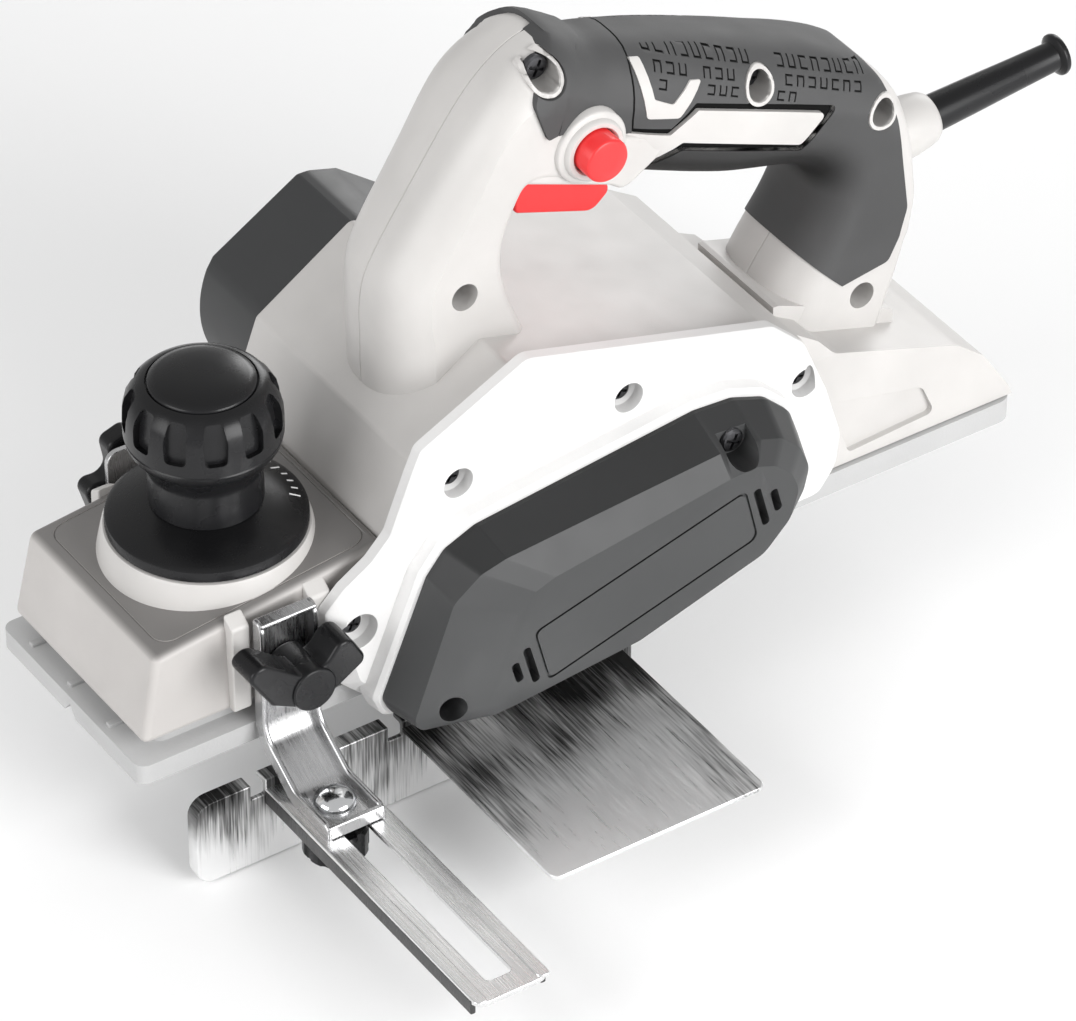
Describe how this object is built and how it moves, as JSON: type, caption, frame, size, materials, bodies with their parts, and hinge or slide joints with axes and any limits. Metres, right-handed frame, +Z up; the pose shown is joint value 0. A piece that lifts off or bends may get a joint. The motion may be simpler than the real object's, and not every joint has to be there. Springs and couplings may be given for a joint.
{
  "type": "electric hand planer",
  "caption": "Hand-held electric planer with a depth knob, looped handle with trigger, belt-driven cutter drum, moving front shoe, chip outlet and a sliding guide fence.",
  "frame": {"origin": "centre of the rear sole's face", "axes": "+X to the cord at the rear, -Y the belt side, +Z up"},
  "size_m": [0.3688, 0.2515, 0.2277],
  "materials": {
    "cast_white": "satin",
    "greige": "fine texture",
    "dark_grey": "fine texture",
    "black_plastic": "satin",
    "rubber_grip": "matt",
    "red": "satin",
    "sole": "machined",
    "zinc": "zinc plated",
    "steel": "satin",
    "brass": "satin",
    "copper": "machined",
    "carbon": "matt",
    "belt": "matt"
  },
  "bodies": {
    "body": {"main_frame": "sole", "side_plate": "cast_white", "motor_housing": "greige", "motor_end_cover": "dark_grey", "rear_cover": "greige", "front_cover": "greige", "knob_collar": "greige", "chip_outlet": "dark_grey", "belt_cover": "dark_grey", "belt_cover_screws": "zinc", "side_plate_screws": "zinc", "housing_screws": "zinc", "handle_left": "greige", "handle_right": "greige", "handle_screws": "zinc", "grip_left": "rubber_grip", "grip_right": "rubber_grip", "grip_inlays": "greige", "cord_collar": "dark_grey", "cord_guard": "black_plastic", "cord_clamp": "black_plastic", "switch_module": "black_plastic", "field_stator": "steel", "brush_holders": "brass", "carbon_brushes": "carbon", "brush_springs": "steel", "armature_bearings": "steel", "drum_bearings": "steel", "fan_baffle": "black_plastic", "drive_belt": "belt", "guide_bracket": "zinc", "guide_clamp_bolt": "zinc", "shoe_springs": "steel", "trigger_spring": "steel", "lock_spring": "steel"},
    "shoe": {"front_shoe": "sole"},
    "depth_control": {"depth_knob": "black_plastic", "depth_dial": "black_plastic", "knob_cap": "black_plastic", "depth_spindle": "steel", "knob_screw": "zinc"},
    "cutter": {"cutter_drum": "sole", "cutter_blades": "steel", "blade_clamps": "steel", "clamp_screws": "steel", "drum_pulley": "sole"},
    "armature": {"armature_shaft": "steel", "armature_core": "steel", "commutator": "copper", "cooling_fan": "black_plastic", "motor_pulley": "steel"},
    "trigger": {"trigger": "red"},
    "lock": {"lock_button": "red"},
    "bracket_wing": {"bracket_wing_bolt": "black_plastic"},
    "stop_wing": {"stop_wing_bolt": "black_plastic"},
    "guide_nut": {"guide_knob_nut": "black_plastic"},
    "fence": {"guide_fence": "zinc"},
    "stop": {"rebate_stop": "zinc"}
  },
  "joints": [
    {"name": "depth_turn", "type": "hinge", "parent": "body", "child": "depth_control", "pos_m": [-0.1756, 0, 0.05], "axis": [0, 0, -1], "range_deg": [0, 338]},
    {"name": "shoe_slide", "type": "slide", "parent": "body", "child": "shoe", "axis": [0, 0, 1], "range_m": [0, 0.00375], "deforming": ["shoe_springs"]},
    {"name": "drum_spin", "type": "hinge", "parent": "body", "child": "cutter", "pos_m": [-0.108, 0, 0.023], "axis": [0, 1, 0], "continuous": true},
    {"name": "armature_spin", "type": "hinge", "parent": "body", "child": "armature", "pos_m": [-0.021, 0, 0.043], "axis": [0, 1, 0], "continuous": true},
    {"name": "trigger_squeeze", "type": "hinge", "parent": "body", "child": "trigger", "pos_m": [-0.065, 0, 0.149], "axis": [0, -1, 0], "range_deg": [0, 9], "stiffness_Nm_per_rad": 0.4, "springref_deg": -8.59},
    {"name": "lock_press", "type": "slide", "parent": "body", "child": "lock", "axis": [0, 1, 0], "range_m": [0, 0.004], "stiffness_N_per_m": 400, "springref_m": -0.001},
    {"name": "bracket_wing_turn", "type": "hinge", "parent": "body", "child": "bracket_wing", "pos_m": [-0.1756, -0.05, 0.0272], "axis": [0, 1, 0], "range_deg": [0, 270]},
    {"name": "stop_wing_turn", "type": "hinge", "parent": "body", "child": "stop_wing", "pos_m": [-0.1756, 0.05, 0.033], "axis": [0, 1, 0], "range_deg": [0, 270]},
    {"name": "guide_nut_turn", "type": "hinge", "parent": "body", "child": "guide_nut", "pos_m": [-0.1756, -0.0695, -0.02], "axis": [0, 0, 1], "range_deg": [0, 270]},
    {"name": "fence_slide", "type": "slide", "parent": "body", "child": "fence", "axis": [0, 1, 0], "range_m": [-0.002, 0.084]},
    {"name": "stop_slide", "type": "slide", "parent": "body", "child": "stop", "axis": [0, 0, 1], "range_m": [-0.004, 0.01]}
  ],
  "couplings": [
    {"joint": "depth_turn", "follows": "shoe_slide", "rad_per_m": 1570.8},
    {"joint": "armature_spin", "follows": "drum_spin", "ratio": 1.3}
  ]
}
